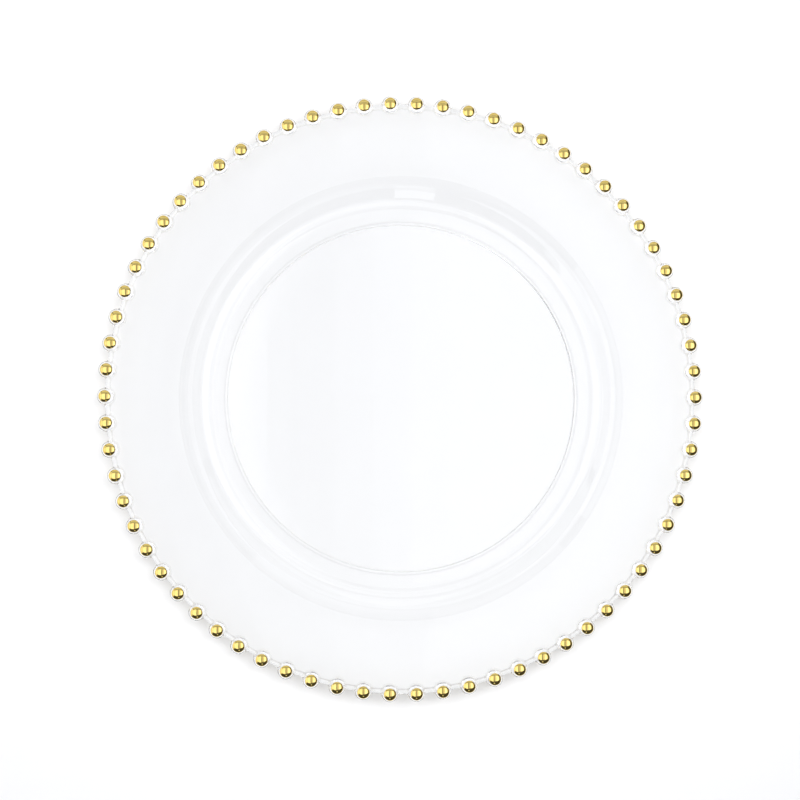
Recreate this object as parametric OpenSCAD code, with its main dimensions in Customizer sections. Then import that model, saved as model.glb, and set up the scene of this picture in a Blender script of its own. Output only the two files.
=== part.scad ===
// Charger plate: a round pressed-glass underplate with a flat well, a coved
// wall, a gently rising rim and a ring of clear balls set into the rim's edge,
// each ball carrying a gilded cap.
// Millimetres. +Z is up, the axis of the plate is Z, and the foot ring rests on
// Z = 0. One ball is centred over +X.

/* [Plate] */
// Outside diameter over the balls
overall_d = 330; // [300:1:360]
// Height of the well's upper face above the table
well_z = 4.6; // [4.4:0.1:6]
// Thickness of the glass under the well
well_t = 4.0; // [3:0.1:4.2]
// Thickness of the glass in the wall
wall_t = 5.4; // [4.4:0.1:6]
// Thickness of the glass in the rim
rim_t = 3.2; // [2.6:0.1:3.6]
// Height of the shoulder, where the wall turns into the rim
shoulder_z = 11.9; // [11:0.1:13]
// Rise of the rim from the shoulder to the edge
rim_rise = 5.1; // [3.5:0.1:6.5]

/* [Foot ring] */
// Mean radius of the foot ring
foot_r = 97.2; // [92:0.1:98]
// Width of the foot ring's standing face
foot_w = 0.8; // [0.6:0.1:2]

/* [Balls] */
// Number of balls round the rim
bead_count = 70; // [60:1:76]
// Diameter of one ball
bead_d = 9.2; // [8.4:0.1:9.6]
// Depth of a ball below its middle, which is flatter than its round top
bead_drop = 3.1; // [2.4:0.1:4]
// Diameter of the gilded cap, seen from above
cap_d = 6.9; // [6:0.1:7.2]
// Thickness of the gilding's layer
cap_t = 0.25; // [0.2:0.05:0.4]

/* [Hidden] */
$fn = 180;

// circle on which the balls' centres lie
bead_r = bead_d / 2;
bead_circle = overall_d / 2 - bead_r;
// radius of the larger sphere that closes a ball below its middle
belly_r = (bead_r * bead_r + bead_drop * bead_drop) / (2 * bead_drop);
// radius of the plate's own edge, which shows between the balls
edge_r = bead_circle + 0.2;
// radius of the fire-polished roll along the edge
roll_r = rim_t / 2 + 0.2;
// upper face: foot of the wall and the shoulder's corner
wall_r = 106.6;
shoulder_r = 116.6;
edge_z = shoulder_z + rim_rise;
roll_c = [edge_r - roll_r, edge_z - rim_t / 2];
bead_z = roll_c[1];
// underside of the well, which stands clear of the table inside the foot ring
under_z = well_z - well_t;
foot_in = foot_r - foot_w / 2;
foot_out = foot_r + foot_w / 2;
// width of the foot ring's slopes
foot_spread = 1.35 * under_z;

// the two slopes of the section, used to hold the glass at its thickness
wall_a = atan2(shoulder_z - well_z, shoulder_r - wall_r);
rim_a = atan2(rim_rise, roll_c[0] - shoulder_r);
// underside corners: shoulder, where the under faces of wall and rim meet, and the foot of the wall
under_run = (wall_t - rim_t * cos(wall_a - rim_a)) / sin(wall_a - rim_a);
under_sh = [shoulder_r + under_run * cos(rim_a) + rim_t * sin(rim_a),
            shoulder_z + under_run * sin(rim_a) - rim_t * cos(rim_a)];
under_wall = [under_sh[0] - (under_sh[1] - under_z) / tan(wall_a), under_z];

// the section's corners, counter-clockwise from the axis
P_axis_lo = [0, under_z];
P_in_root = [foot_in - foot_spread, under_z];
P_in_foot = [foot_in, 0];
P_out_foot = [foot_out, 0];
P_out_root = [foot_out + foot_spread, under_z];
P_edge_lo = [roll_c[0], roll_c[1] - rim_t / 2];
P_edge_hi = [roll_c[0], roll_c[1] + rim_t / 2];
P_shoulder = [shoulder_r, shoulder_z];
P_wall = [wall_r, well_z];
P_axis_hi = [0, well_z];

// radii of the rounded corners
r_root = 0.4;
r_foot = 0.3;
r_cove = 15;
r_cove_under = 10;
r_shoulder = 11;
r_shoulder_under = 2;

function unit(v) = v / norm(v);
// length from corner p to where a round of radius r touches its two sides, towards a and b
function tan_len(a, p, b, r) = let (u = unit(a - p), v = unit(b - p)) r / tan(acos(u * v) / 2);
// centre of that round
function round_c(a, p, b, r) = let (u = unit(a - p), v = unit(b - p)) p + unit(u + v) * (r / sin(acos(u * v) / 2));
// smallest signed turn from angle s to angle e
function turn(s, e) = let (d = e - s) d > 180 ? d - 360 : d < -180 ? d + 360 : d;
// points along the round, from the side towards a to the side towards b, in n steps
function rounded(a, p, b, r, n) =
    let (c = round_c(a, p, b, r),
         t0 = p + unit(a - p) * tan_len(a, p, b, r) - c,
         t1 = p + unit(b - p) * tan_len(a, p, b, r) - c,
         s = atan2(t0[1], t0[0]),
         d = turn(s, atan2(t1[1], t1[0])))
    [for (i = [0 : n]) c + r * [cos(s + d * i / n), sin(s + d * i / n)]];

// half section of the plate in the X-Z plane, with a rolled edge
module section() {
    polygon(concat(
        [P_axis_lo],
        rounded(P_axis_lo, P_in_root, P_in_foot, r_root, 3),
        rounded(P_in_root, P_in_foot, P_out_foot, r_foot, 3),
        rounded(P_in_foot, P_out_foot, P_out_root, r_foot, 3),
        rounded(P_out_foot, P_out_root, under_wall, r_root, 3),
        rounded(P_out_root, under_wall, under_sh, r_cove_under, 10),
        rounded(under_wall, under_sh, P_edge_lo, r_shoulder_under, 6),
        [P_edge_lo, P_edge_hi],
        rounded(P_edge_hi, P_shoulder, P_wall, r_shoulder, 10),
        rounded(P_shoulder, P_wall, P_axis_hi, r_cove, 12),
        [P_axis_hi]));
    translate(roll_c) circle(r = roll_r);
}

// places its child at every ball round the rim
module round_the_rim() {
    for (k = [0 : bead_count - 1])
        rotate([0, 0, k * 360 / bead_count])
            translate([bead_circle, 0, bead_z]) children();
}

// one ball: a round top over a shallower belly
module bead() {
    intersection() {
        sphere(r = bead_r);
        translate([0, 0, belly_r - bead_drop]) sphere(r = belly_r);
    }
}

module plate() {
    color([0.86, 0.93, 0.95, 0.45])
        difference() {
            rotate_extrude() section();
            round_the_rim() bead();
        }
}

module clear_beads() {
    color([0.90, 0.95, 0.96, 0.5])
        round_the_rim() bead();
}

// a dish-shaped layer that follows the top of a ball
module gold_cap() {
    rotate_extrude()
        intersection() {
            difference() {
                circle(r = bead_r + cap_t);
                circle(r = bead_r);
            }
            square([cap_d / 2, bead_r + 1]);
        }
}

module gold_caps() {
    color([0.85, 0.68, 0.25])
        round_the_rim() gold_cap();
}

plate();
clear_beads();
gold_caps();
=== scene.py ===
import math
import random

import bmesh
import bpy
import numpy as np
from mathutils import Matrix, Vector


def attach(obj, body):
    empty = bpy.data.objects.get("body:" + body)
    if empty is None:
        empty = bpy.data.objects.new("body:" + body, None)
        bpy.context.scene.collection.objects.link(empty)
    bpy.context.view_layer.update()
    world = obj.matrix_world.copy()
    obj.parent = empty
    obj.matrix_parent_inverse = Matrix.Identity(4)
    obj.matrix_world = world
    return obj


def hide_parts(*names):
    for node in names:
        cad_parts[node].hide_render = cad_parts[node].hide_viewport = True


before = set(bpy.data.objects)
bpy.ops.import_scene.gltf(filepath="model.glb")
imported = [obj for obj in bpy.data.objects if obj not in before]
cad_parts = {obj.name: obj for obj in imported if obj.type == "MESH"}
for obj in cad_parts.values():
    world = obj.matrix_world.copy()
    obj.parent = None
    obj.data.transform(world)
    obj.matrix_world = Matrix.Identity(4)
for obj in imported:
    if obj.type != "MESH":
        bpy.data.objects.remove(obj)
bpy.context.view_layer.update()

MM = 0.001
scene = bpy.context.scene

# ------------------------------------------------------------------ sizes, as in the CAD (mm)
OVERALL_D = 330.0
WELL_Z, WELL_T, WALL_T, RIM_T = 4.6, 4.0, 5.4, 3.2
SHOULDER_Z, RIM_RISE = 11.9, 5.1
FOOT_R, FOOT_W = 97.2, 0.8
BEAD_COUNT, BEAD_D, BEAD_DROP = 70, 9.2, 3.1
CAP_D, CAP_T = 6.9, 0.25

BEAD_R = BEAD_D / 2
BEAD_CIRCLE = OVERALL_D / 2 - BEAD_R
EDGE_R = BEAD_CIRCLE + 0.2
ROLL_R = RIM_T / 2 + 0.2
WALL_R, SHOULDER_R = 106.6, 116.6
EDGE_Z = SHOULDER_Z + RIM_RISE
ROLL_C = Vector((EDGE_R - ROLL_R, EDGE_Z - RIM_T / 2))
BEAD_Z = ROLL_C.y
UNDER_Z = WELL_Z - WELL_T
FOOT_SPREAD = 1.35 * UNDER_Z
FOOT_IN, FOOT_OUT = FOOT_R - FOOT_W / 2, FOOT_R + FOOT_W / 2
WALL_A = math.atan2(SHOULDER_Z - WELL_Z, SHOULDER_R - WALL_R)
RIM_A = math.atan2(RIM_RISE, ROLL_C.x - SHOULDER_R)
UNDER_RUN = (WALL_T - RIM_T * math.cos(WALL_A - RIM_A)) / math.sin(WALL_A - RIM_A)
UNDER_SH = Vector((SHOULDER_R + UNDER_RUN * math.cos(RIM_A) + RIM_T * math.sin(RIM_A),
                   SHOULDER_Z + UNDER_RUN * math.sin(RIM_A) - RIM_T * math.cos(RIM_A)))
UNDER_WALL = Vector((UNDER_SH.x - (UNDER_SH.y - UNDER_Z) / math.tan(WALL_A), UNDER_Z))


# ------------------------------------------------------------------ the plate's section
def rounded(a, p, b, r, n):
    """Points along a round of radius r rolled into corner p, between its sides towards a and b."""
    a, p, b = Vector(a), Vector(p), Vector(b)
    u, v = (a - p).normalized(), (b - p).normalized()
    half = math.acos(max(-1.0, min(1.0, u.dot(v)))) / 2
    c = p + (u + v).normalized() * (r / math.sin(half))
    t0, t1 = p + u * (r / math.tan(half)) - c, p + v * (r / math.tan(half)) - c
    s, e = math.atan2(t0.y, t0.x), math.atan2(t1.y, t1.x)
    d = (e - s + math.pi) % (2 * math.pi) - math.pi
    return [c + r * Vector((math.cos(s + d * i / n), math.sin(s + d * i / n))) for i in range(n + 1)]


def section():
    """The plate's half section, counter-clockwise from the axis's foot to its top, in mm."""
    axis_lo, axis_hi = Vector((0, UNDER_Z)), Vector((0, WELL_Z))
    in_root, in_foot = Vector((FOOT_IN - FOOT_SPREAD, UNDER_Z)), Vector((FOOT_IN, 0))
    out_foot, out_root = Vector((FOOT_OUT, 0)), Vector((FOOT_OUT + FOOT_SPREAD, UNDER_Z))
    edge_lo = Vector((ROLL_C.x, ROLL_C.y - RIM_T / 2))
    edge_hi = Vector((ROLL_C.x, ROLL_C.y + RIM_T / 2))
    shoulder, wall = Vector((SHOULDER_R, SHOULDER_Z)), Vector((WALL_R, WELL_Z))

    pts = [axis_lo] + [Vector((r, UNDER_Z)) for r in (8, 30, 55, 80)]
    pts += rounded(axis_lo, in_root, in_foot, 0.4, 4)
    pts += rounded(in_root, in_foot, out_foot, 0.3, 3)
    pts += rounded(in_foot, out_foot, out_root, 0.3, 3)
    pts += rounded(out_foot, out_root, UNDER_WALL, 0.4, 4)
    pts += rounded(out_root, UNDER_WALL, UNDER_SH, 10.0, 12)
    pts += [UNDER_WALL.lerp(UNDER_SH, 0.6)]
    pts += rounded(UNDER_WALL, UNDER_SH, edge_lo, 2.0, 7)
    pts += [UNDER_SH.lerp(edge_lo, f) for f in (0.25, 0.5, 0.75, 0.9, 0.94, 0.97)]
    # the fire-polished roll: an arc from the rim's under face round to its upper face
    reach = math.sqrt(ROLL_R ** 2 - (RIM_T / 2) ** 2)
    lo = math.atan2(-RIM_T / 2, -reach) + RIM_A
    hi = math.atan2(RIM_T / 2, -reach) + RIM_A
    n = 16
    pts += [ROLL_C + ROLL_R * Vector((math.cos(lo + (hi - lo) * i / n), math.sin(lo + (hi - lo) * i / n)))
            for i in range(n + 1)]
    pts += [edge_hi.lerp(shoulder, f) for f in (0.03, 0.06, 0.1, 0.3, 0.5, 0.7)]
    pts += rounded(edge_hi, shoulder, wall, 11.0, 13)
    pts += [shoulder.lerp(wall, 0.5)]
    pts += rounded(shoulder, wall, axis_hi, 15.0, 14)
    pts += [Vector((r, WELL_Z)) for r in (88, 66, 36, 9)] + [axis_hi]
    return pts


def lathe(name, pts, steps):
    """A closed surface of revolution about Z. The first and last points lie on the axis."""
    verts, rings, faces = [], [], []
    for p in pts:
        if p.x < 1e-6:
            rings.append([len(verts)] * steps)
            verts.append((0.0, 0.0, p.y * MM))
        else:
            rings.append(list(range(len(verts), len(verts) + steps)))
            # half a step off, so that no ring of points falls on a ball's middle plane
            verts += [(p.x * MM * math.cos(2 * math.pi * (i + 0.5) / steps),
                       p.x * MM * math.sin(2 * math.pi * (i + 0.5) / steps), p.y * MM) for i in range(steps)]
    for lo, hi in zip(rings, rings[1:]):
        for i in range(steps):
            j = (i + 1) % steps
            quad = [lo[i], lo[j], hi[j], hi[i]]
            face = [v for n, v in enumerate(quad) if v != quad[n - 1]]
            if len(face) > 2:
                faces.append(face)
    me = bpy.data.meshes.new(name)
    me.from_pydata(verts, [], faces)
    me.validate()
    return me


def bead_place(k):
    """Rotation and place of ball k, with its own X axis pointing away from the plate's axis."""
    a = 2 * math.pi * k / BEAD_COUNT
    return (Matrix.Rotation(a, 4, "Z")
            @ Matrix.Translation((BEAD_CIRCLE * MM, 0, BEAD_Z * MM)))


def ball_mesh(name, segs, rings):
    """The balls: round above the middle, shallower below it."""
    verts, faces = [], []
    for k in range(BEAD_COUNT):
        m, base = bead_place(k), len(verts)
        verts.append(m @ Vector((0, 0, BEAD_R * MM)))
        for j in range(1, rings):
            t = math.pi * j / rings
            for i in range(segs):
                f = 2 * math.pi * (i + 0.5) / segs
                up = BEAD_R if j < rings / 2 else BEAD_DROP
                verts.append(m @ (MM * Vector((BEAD_R * math.sin(t) * math.cos(f), BEAD_R * math.sin(t) * math.sin(f), up * math.cos(t)))))
        verts.append(m @ Vector((0, 0, -BEAD_DROP * MM)))
        last = len(verts) - 1
        for i in range(segs):
            j = (i + 1) % segs
            faces.append((base, base + 1 + i, base + 1 + j))
            for r in range(rings - 2):
                q = base + 1 + r * segs
                faces.append((q + i, q + segs + i, q + segs + j, q + j))
            q = base + 1 + (rings - 2) * segs
            faces.append((q + i, last, q + j))
    me = bpy.data.meshes.new(name)
    me.from_pydata([tuple(v) for v in verts], [], faces)
    me.validate()
    return me


def add(name, me):
    ob = bpy.data.objects.new(name, me)
    scene.collection.objects.link(ob)
    return ob


# ------------------------------------------------------------------ glass body: plate and balls fused into one clear piece
body = add("pressed_glass_body", lathe("pressed_glass_body", section(), 252))
balls = add("balls_for_fusing", ball_mesh("balls_for_fusing", 26, 16))
join = body.modifiers.new("fuse", "BOOLEAN")
join.operation, join.object, join.solver = "UNION", balls, "MANIFOLD"
bpy.context.view_layer.update()
deps = bpy.context.evaluated_depsgraph_get()
fused = bpy.data.meshes.new_from_object(body.evaluated_get(deps))
body.modifiers.clear()
body.data = fused
fused.name = "pressed_glass_body"
bpy.data.objects.remove(balls)

# the glass runs into each ball with a small fillet: the corner line between ball and rim is
# refined and laid on a smooth blend of the two shapes
FILLET_TOP, FILLET_UNDER = 0.5, 1.6
half_t = RIM_T / 2 * math.cos(RIM_A)


def to_ball(p):
    k = np.round(np.arctan2(p[:, 1], p[:, 0]) / (2 * np.pi / BEAD_COUNT)) * (2 * np.pi / BEAD_COUNT)
    x = np.hypot(p[:, 0] - BEAD_CIRCLE * np.cos(k), p[:, 1] - BEAD_CIRCLE * np.sin(k))
    z = p[:, 2] - BEAD_Z
    half = np.where(z > 0, BEAD_R, BEAD_DROP)
    e, g = np.hypot(x / BEAD_R, z / half), np.hypot(x / BEAD_R ** 2, z / half ** 2)
    return e * (e - 1) / np.maximum(g, 1e-9)


def to_rim(p):
    dr, dz = np.hypot(p[:, 0], p[:, 1]) - ROLL_C.x, p[:, 2] - ROLL_C.y
    along = -(dr * math.cos(RIM_A) + dz * math.sin(RIM_A))
    across = np.abs(dz * math.cos(RIM_A) - dr * math.sin(RIM_A)) - half_t
    return np.minimum(np.where(along > 0, across, 9.0), np.hypot(dr, dz) - ROLL_R)


def blend(p):
    a, b = to_ball(p), to_rim(p)
    k = FILLET_UNDER + (FILLET_TOP - FILLET_UNDER) * np.clip((p[:, 2] - BEAD_Z + 0.8) / 1.6, 0, 1)
    h = np.maximum(k - np.abs(a - b), 0) / k
    return np.minimum(a, b) - h * h * k / 4


def near_corner(p, wide):
    """Points within the fillet's reach of the corner, times wide: a narrow reach on top, a broader one underneath."""
    reach = np.where(p[:, 2] > BEAD_Z, FILLET_TOP, FILLET_UNDER) * wide
    return (np.abs(to_ball(p)) < reach) & (np.abs(to_rim(p)) < reach) & (np.hypot(p[:, 0], p[:, 1]) > 140)


bm = bmesh.new()
bm.from_mesh(fused)
for longest in (1.3, 0.85, 0.6, 0.48):
    bm.verts.ensure_lookup_table()
    pts = np.array([v.co[:] for v in bm.verts]) / MM
    near = near_corner(pts, 1.1)
    fine = np.maximum(np.where(pts[:, 2] > BEAD_Z, 0.48, 0.95), longest) * MM
    cut = [e for e in bm.edges
           if any(near[v.index] and e.calc_length() > fine[v.index] for v in e.verts)]
    bmesh.ops.subdivide_edges(bm, edges=cut, cuts=1)
    bmesh.ops.triangulate(bm, faces=[f for f in bm.faces if len(f.verts) > 4], quad_method="BEAUTY", ngon_method="BEAUTY")
    bm.verts.index_update()
bm.verts.ensure_lookup_table()
pts = np.array([v.co[:] for v in bm.verts]) / MM
pick = np.nonzero(near_corner(pts, 1.1))[0]
p = pts[pick]
for _ in range(6):
    f = blend(p)
    grad = np.stack([(blend(p + d) - blend(p - d)) / 2e-3 for d in 1e-3 * np.eye(3)], axis=1)
    p = p - grad * (f / np.maximum((grad ** 2).sum(axis=1), 0.2))[:, None]
for i, co in zip(pick, p):
    bm.verts[i].co = co * MM
bmesh.ops.dissolve_degenerate(bm, dist=2e-6, edges=bm.edges[:])
bmesh.ops.triangulate(bm, faces=[f for f in bm.faces if len(f.verts) > 4])
bm.to_mesh(fused)
bm.free()
fused.shade_smooth()

# ------------------------------------------------------------------ gilded caps, each laid on by hand over its ball's top
rng = random.Random(11)


def cap_mesh(name, segs):
    """Closed dish-shaped layers. Their outer face follows the CAD cap; their inner face lies a hair inside the glass, as fired gilding wets it."""
    verts, faces = [], []
    r_out, r_in = BEAD_R + CAP_T, BEAD_R - 0.05
    edge = math.asin(CAP_D / 2 / r_out)
    for k in range(BEAD_COUNT):
        tip = Matrix.Rotation(rng.uniform(0, 2 * math.pi), 4, "Z") @ Matrix.Rotation(math.radians(rng.uniform(0, 1.3)), 4, "Y")
        m, base = bead_place(k) @ tip, len(verts)
        grow = rng.uniform(-0.035, 0.0)
        lobes = [(n, rng.uniform(0, 0.012), rng.uniform(0, 2 * math.pi)) for n in (2, 3, 5)]
        # (share of the edge angle, radius) along the section: out over the top, round the lip, back underneath
        line = [(s, r_out) for s in (0.12, 0.28, 0.44, 0.6, 0.75, 0.87, 0.945)]
        line += [(0.985, r_out - 0.025), (1.0, r_out - 0.085), (1.0, r_out - 0.17), (0.99, r_in + 0.03), (0.96, r_in)]
        line += [(s, r_in) for s in (0.8, 0.55, 0.28)]
        verts.append(m @ Vector((0, 0, r_out * MM)))
        for s, r in line:
            for i in range(segs):
                f = 2 * math.pi * i / segs
                wave = 1 + grow + sum(h * math.cos(n * f + p) for n, h, p in lobes) - 0.02
                t = edge * s * (1 + (wave - 1) * s)
                verts.append(m @ (r * MM * Vector((math.sin(t) * math.cos(f), math.sin(t) * math.sin(f), math.cos(t)))))
        verts.append(m @ Vector((0, 0, r_in * MM)))
        last = len(verts) - 1
        for i in range(segs):
            j = (i + 1) % segs
            faces.append((base, base + 1 + i, base + 1 + j))
            for r in range(len(line) - 1):
                q = base + 1 + r * segs
                faces.append((q + i, q + segs + i, q + segs + j, q + j))
            q = base + 1 + (len(line) - 1) * segs
            faces.append((q + i, last, q + j))
    me = bpy.data.meshes.new(name)
    me.from_pydata([tuple(v) for v in verts], [], faces)
    me.validate()
    me.shade_smooth()
    return me


caps = add("gilded_caps", cap_mesh("gilded_caps", 28))


# ------------------------------------------------------------------ materials
def material(name):
    mat = bpy.data.materials.new(name)
    mat.use_nodes = True
    nt = mat.node_tree
    return mat, nt, nt.nodes["Principled BSDF"]


def node(nt, kind, **values):
    n = nt.nodes.new(kind)
    for key, value in values.items():
        setattr(n, key, value)
    return n


def noise(nt, scale, detail, rough=0.5):
    coords = node(nt, "ShaderNodeTexCoord")
    n = node(nt, "ShaderNodeTexNoise")
    n.inputs["Scale"].default_value = scale
    n.inputs["Detail"].default_value = detail
    n.inputs["Roughness"].default_value = rough
    nt.links.new(coords.outputs["Object"], n.inputs["Vector"])
    return n


def spread(nt, source, lo, hi, frm=(0.3, 0.7)):
    n = node(nt, "ShaderNodeMapRange")
    n.inputs["From Min"].default_value, n.inputs["From Max"].default_value = frm
    n.inputs["To Min"].default_value, n.inputs["To Max"].default_value = lo, hi
    nt.links.new(source, n.inputs["Value"])
    return n.outputs["Result"]


def tint(nt, source, stops):
    n = node(nt, "ShaderNodeValToRGB")
    ramp = n.color_ramp
    ramp.elements[0].position, ramp.elements[0].color = stops[0][0], (*stops[0][1], 1)
    ramp.elements[1].position, ramp.elements[1].color = stops[-1][0], (*stops[-1][1], 1)
    for at, rgb in stops[1:-1]:
        ramp.elements.new(at).color = (*rgb, 1)
    nt.links.new(source, n.inputs["Fac"])
    return n.outputs["Color"]


# clear pressed glass: slow waviness from the mould, faint drift in its tint and polish
glass, nt, bsdf = material("clear_pressed_glass")
bsdf.inputs["Transmission Weight"].default_value = 1.0
bsdf.inputs["IOR"].default_value = 1.5
slow = noise(nt, 22.0, 2.0)
nt.links.new(tint(nt, slow.outputs["Fac"], [(0.3, (0.982, 0.985, 0.989)), (0.7, (0.986, 0.989, 0.992))]), bsdf.inputs["Base Color"])
nt.links.new(spread(nt, noise(nt, 60.0, 3.0).outputs["Fac"], 0.0, 0.012), bsdf.inputs["Roughness"])
wave = node(nt, "ShaderNodeBump")
wave.inputs["Strength"].default_value = 0.10
wave.inputs["Distance"].default_value = 0.0004
nt.links.new(slow.outputs["Fac"], wave.inputs["Height"])
nt.links.new(wave.outputs["Normal"], bsdf.inputs["Normal"])
body.data.materials.clear()
body.data.materials.append(glass)

# fired gold: bright metal, with a slightly uneven film and brushed-on edges
gold, nt, bsdf = material("fired_gold")
bsdf.inputs["Metallic"].default_value = 1.0
film = noise(nt, 420.0, 4.0, 0.6)
nt.links.new(tint(nt, film.outputs["Fac"], [(0.25, (0.86, 0.65, 0.19)), (0.5, (0.91, 0.70, 0.23)), (0.8, (0.95, 0.75, 0.28))]), bsdf.inputs["Base Color"])
nt.links.new(spread(nt, film.outputs["Fac"], 0.03, 0.08), bsdf.inputs["Roughness"])
skin = node(nt, "ShaderNodeBump")
skin.inputs["Strength"].default_value = 0.06
skin.inputs["Distance"].default_value = 0.0002
nt.links.new(noise(nt, 900.0, 3.0).outputs["Fac"], skin.inputs["Height"])
nt.links.new(skin.outputs["Normal"], bsdf.inputs["Normal"])
caps.data.materials.append(gold)

for piece, nodes, slot in ((body, ("plate", "clear_beads"), "clear_glass"), (caps, ("gold_caps",), "gold_gilding")):
    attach(piece, "root")
    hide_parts(*nodes)

# ------------------------------------------------------------------ floor
me = bpy.data.meshes.new("floor")
s = 4.0
drop = -0.00005
me.from_pydata([(-s, -s, drop), (s, -s, drop), (s, s, drop), (-s, s, drop)], [], [(0, 1, 2, 3)])
floor = add("floor", me)
white, nt, bsdf = material("white_paper")
bsdf.inputs["Roughness"].default_value = 0.9
bsdf.inputs["Specular IOR Level"].default_value = 0.1
nt.links.new(tint(nt, noise(nt, 3.0, 2.0).outputs["Fac"], [(0.3, (0.785, 0.785, 0.79)), (0.7, (0.80, 0.80, 0.80))]), bsdf.inputs["Base Color"])
me.materials.append(white)


# a round backlight let into the floor, on which the plate stands; it ends under the ring of balls
me = bpy.data.meshes.new("backlight")
me.from_pydata([(0.163 * math.cos(math.radians(i)), 0.163 * math.sin(math.radians(i)), -0.00002) for i in range(360)], [], [list(range(360))])
backlight = add("backlight", me)
opal, nt, bsdf = material("opal_glass")
bsdf.inputs["Roughness"].default_value = 0.9
bsdf.inputs["Specular IOR Level"].default_value = 0.1
bsdf.inputs["Emission Color"].default_value = (0.985, 0.99, 1.0, 1)
bsdf.inputs["Emission Strength"].default_value = 0.685
nt.links.new(tint(nt, noise(nt, 3.0, 2.0).outputs["Fac"], [(0.3, (0.295, 0.295, 0.30)), (0.7, (0.305, 0.305, 0.305))]), bsdf.inputs["Base Color"])
me.materials.append(opal)


# ------------------------------------------------------------------ light: a pair of wide soft panels overhead and a soft key between them
def panel(name, at, aim, size, radiance, colour=(1, 1, 1)):
    lamp = bpy.data.lights.new(name, "AREA")
    lamp.shape, lamp.size, lamp.size_y = "RECTANGLE", size[0], size[1]
    lamp.color = colour
    lamp.energy = radiance * math.pi * size[0] * size[1]
    ob = bpy.data.objects.new(name, lamp)
    scene.collection.objects.link(ob)
    at, aim = Vector(at), Vector(aim)
    back = (at - aim).normalized()
    side = (Vector((0, 0, 1)) if abs(back.z) < 0.5 else Vector((0, 1, 0))).cross(back).normalized()
    up = back.cross(side)
    ob.matrix_world = Matrix.Translation(at) @ Matrix((side, up, back)).transposed().to_4x4()
    ob.visible_camera = False
    return ob


COOL = (0.975, 0.98, 1.0)


def overhead(name, x0, x1, y0, y1, radiance, z=0.62):
    """A panel lying level over the plate, between the given sides."""
    x, y = (x0 + x1) / 2, (y0 + y1) / 2
    return panel(name, (x, y, z), (x, y, 0), (x1 - x0, y1 - y0), radiance, COOL)


overhead("panel_left", -0.85, -0.16, -0.58, 0.40, 0.92)
overhead("panel_left_end", -1.45, -0.85, -0.58, 0.40, 0.50)
overhead("panel_right_near", 0.08, 0.30, -0.48, 0.40, 0.76)
overhead("panel_right", 0.30, 0.85, -0.48, 0.40, 1.10)
overhead("panel_right_end", 0.85, 1.45, -0.48, 0.40, 0.40)
# the two panels' facing sides fade out in a few narrow strips
for i in range(3):
    overhead("panel_left_fade_%d" % i, -0.16 + 0.025 * i, -0.16 + 0.025 * (i + 1), -0.58, 0.40, 0.92 * (2.5 - i) / 3)
for i in range(4):
    overhead("panel_right_fade_%d" % i, -0.08 + 0.04 * i, -0.08 + 0.04 * (i + 1), -0.48, 0.40, 0.76 * (i + 0.5) / 4)
overhead("panel_back", -1.40, 1.15, 0.48, 1.50, 0.53)
overhead("ceiling", -1.6, 1.6, -1.6, 1.6, 0.12, 1.6)
panel("card_left", (-1.6, 0.0, 0.45), (0, 0, 0.45), (2.4, 0.9), 0.9, COOL)
panel("card_back", (0.0, 1.7, 0.45), (0, 0, 0.45), (3.2, 0.9), 0.6, COOL)
panel("low_front", (0.0, -1.0, 0.55), (0, 0, 0), (0.2, 0.2), 1.0, COOL)
# a broad soft key over the plate, and a smaller one whose light only falls on the floor, for the shadow round the ring
for key in (overhead("key_broad", -0.32, 0.34, -0.36, 0.42, 1.05, 0.70),
            overhead("key_floor", -0.34, 0.34, -0.05, 0.22, 5.00, 0.69)):
    key.visible_glossy = False
key.visible_transmission = False
# the panels' front ends, kept out of the reflections
for strip in (overhead("front_left", -0.85, -0.10, -0.66, -0.58, 0.92),
              overhead("front_right", 0.08, 0.85, -0.66, -0.48, 1.00)):
    strip.visible_glossy = False
# sheen on the gilding
for sheen in (overhead("sheen_left", -1.45, -0.16, -0.58, 0.40, 0.35, 0.63),
              overhead("sheen_right", 0.30, 1.00, -0.48, 0.40, 0.60, 0.63)):
    sheen.visible_diffuse = sheen.visible_transmission = False

world = bpy.data.worlds.new("studio")
scene.world = world
world.use_nodes = True
bg = world.node_tree.nodes["Background"]
bg.inputs["Color"].default_value = (*COOL, 1)
bg.inputs["Strength"].default_value = 0.06

scene.cycles.max_bounces, scene.cycles.glossy_bounces, scene.cycles.transmission_bounces = 32, 24, 32
scene.cycles.blur_glossy = 0.0
scene.view_settings.view_transform = "Standard"
scene.view_settings.look = "None"

# ------------------------------------------------------------------ camera, straight above, fitted to the ring of caps
cam_data = bpy.data.cameras.new("camera")
cam_data.sensor_width = 36.0
cam_data.lens = 1256.5 / 800 * 36.0
cam_data.clip_start, cam_data.clip_end = 0.01, 50.0
cam = bpy.data.objects.new("camera", cam_data)
scene.collection.objects.link(cam)
eye, look = Vector((-0.03445, -0.02449, 0.6985)), Vector((-0.00170, -0.00165, 0.0145))
back = (eye - look).normalized()
side = Vector((0, 1, 0)).cross(back).normalized()
up = back.cross(side)
roll = Matrix.Rotation(0.00051, 3, "Z")
cam.matrix_world = Matrix.Translation(eye) @ (Matrix((side, up, back)).transposed() @ roll).to_4x4()
scene.camera = cam

bpy.context.view_layer.update()
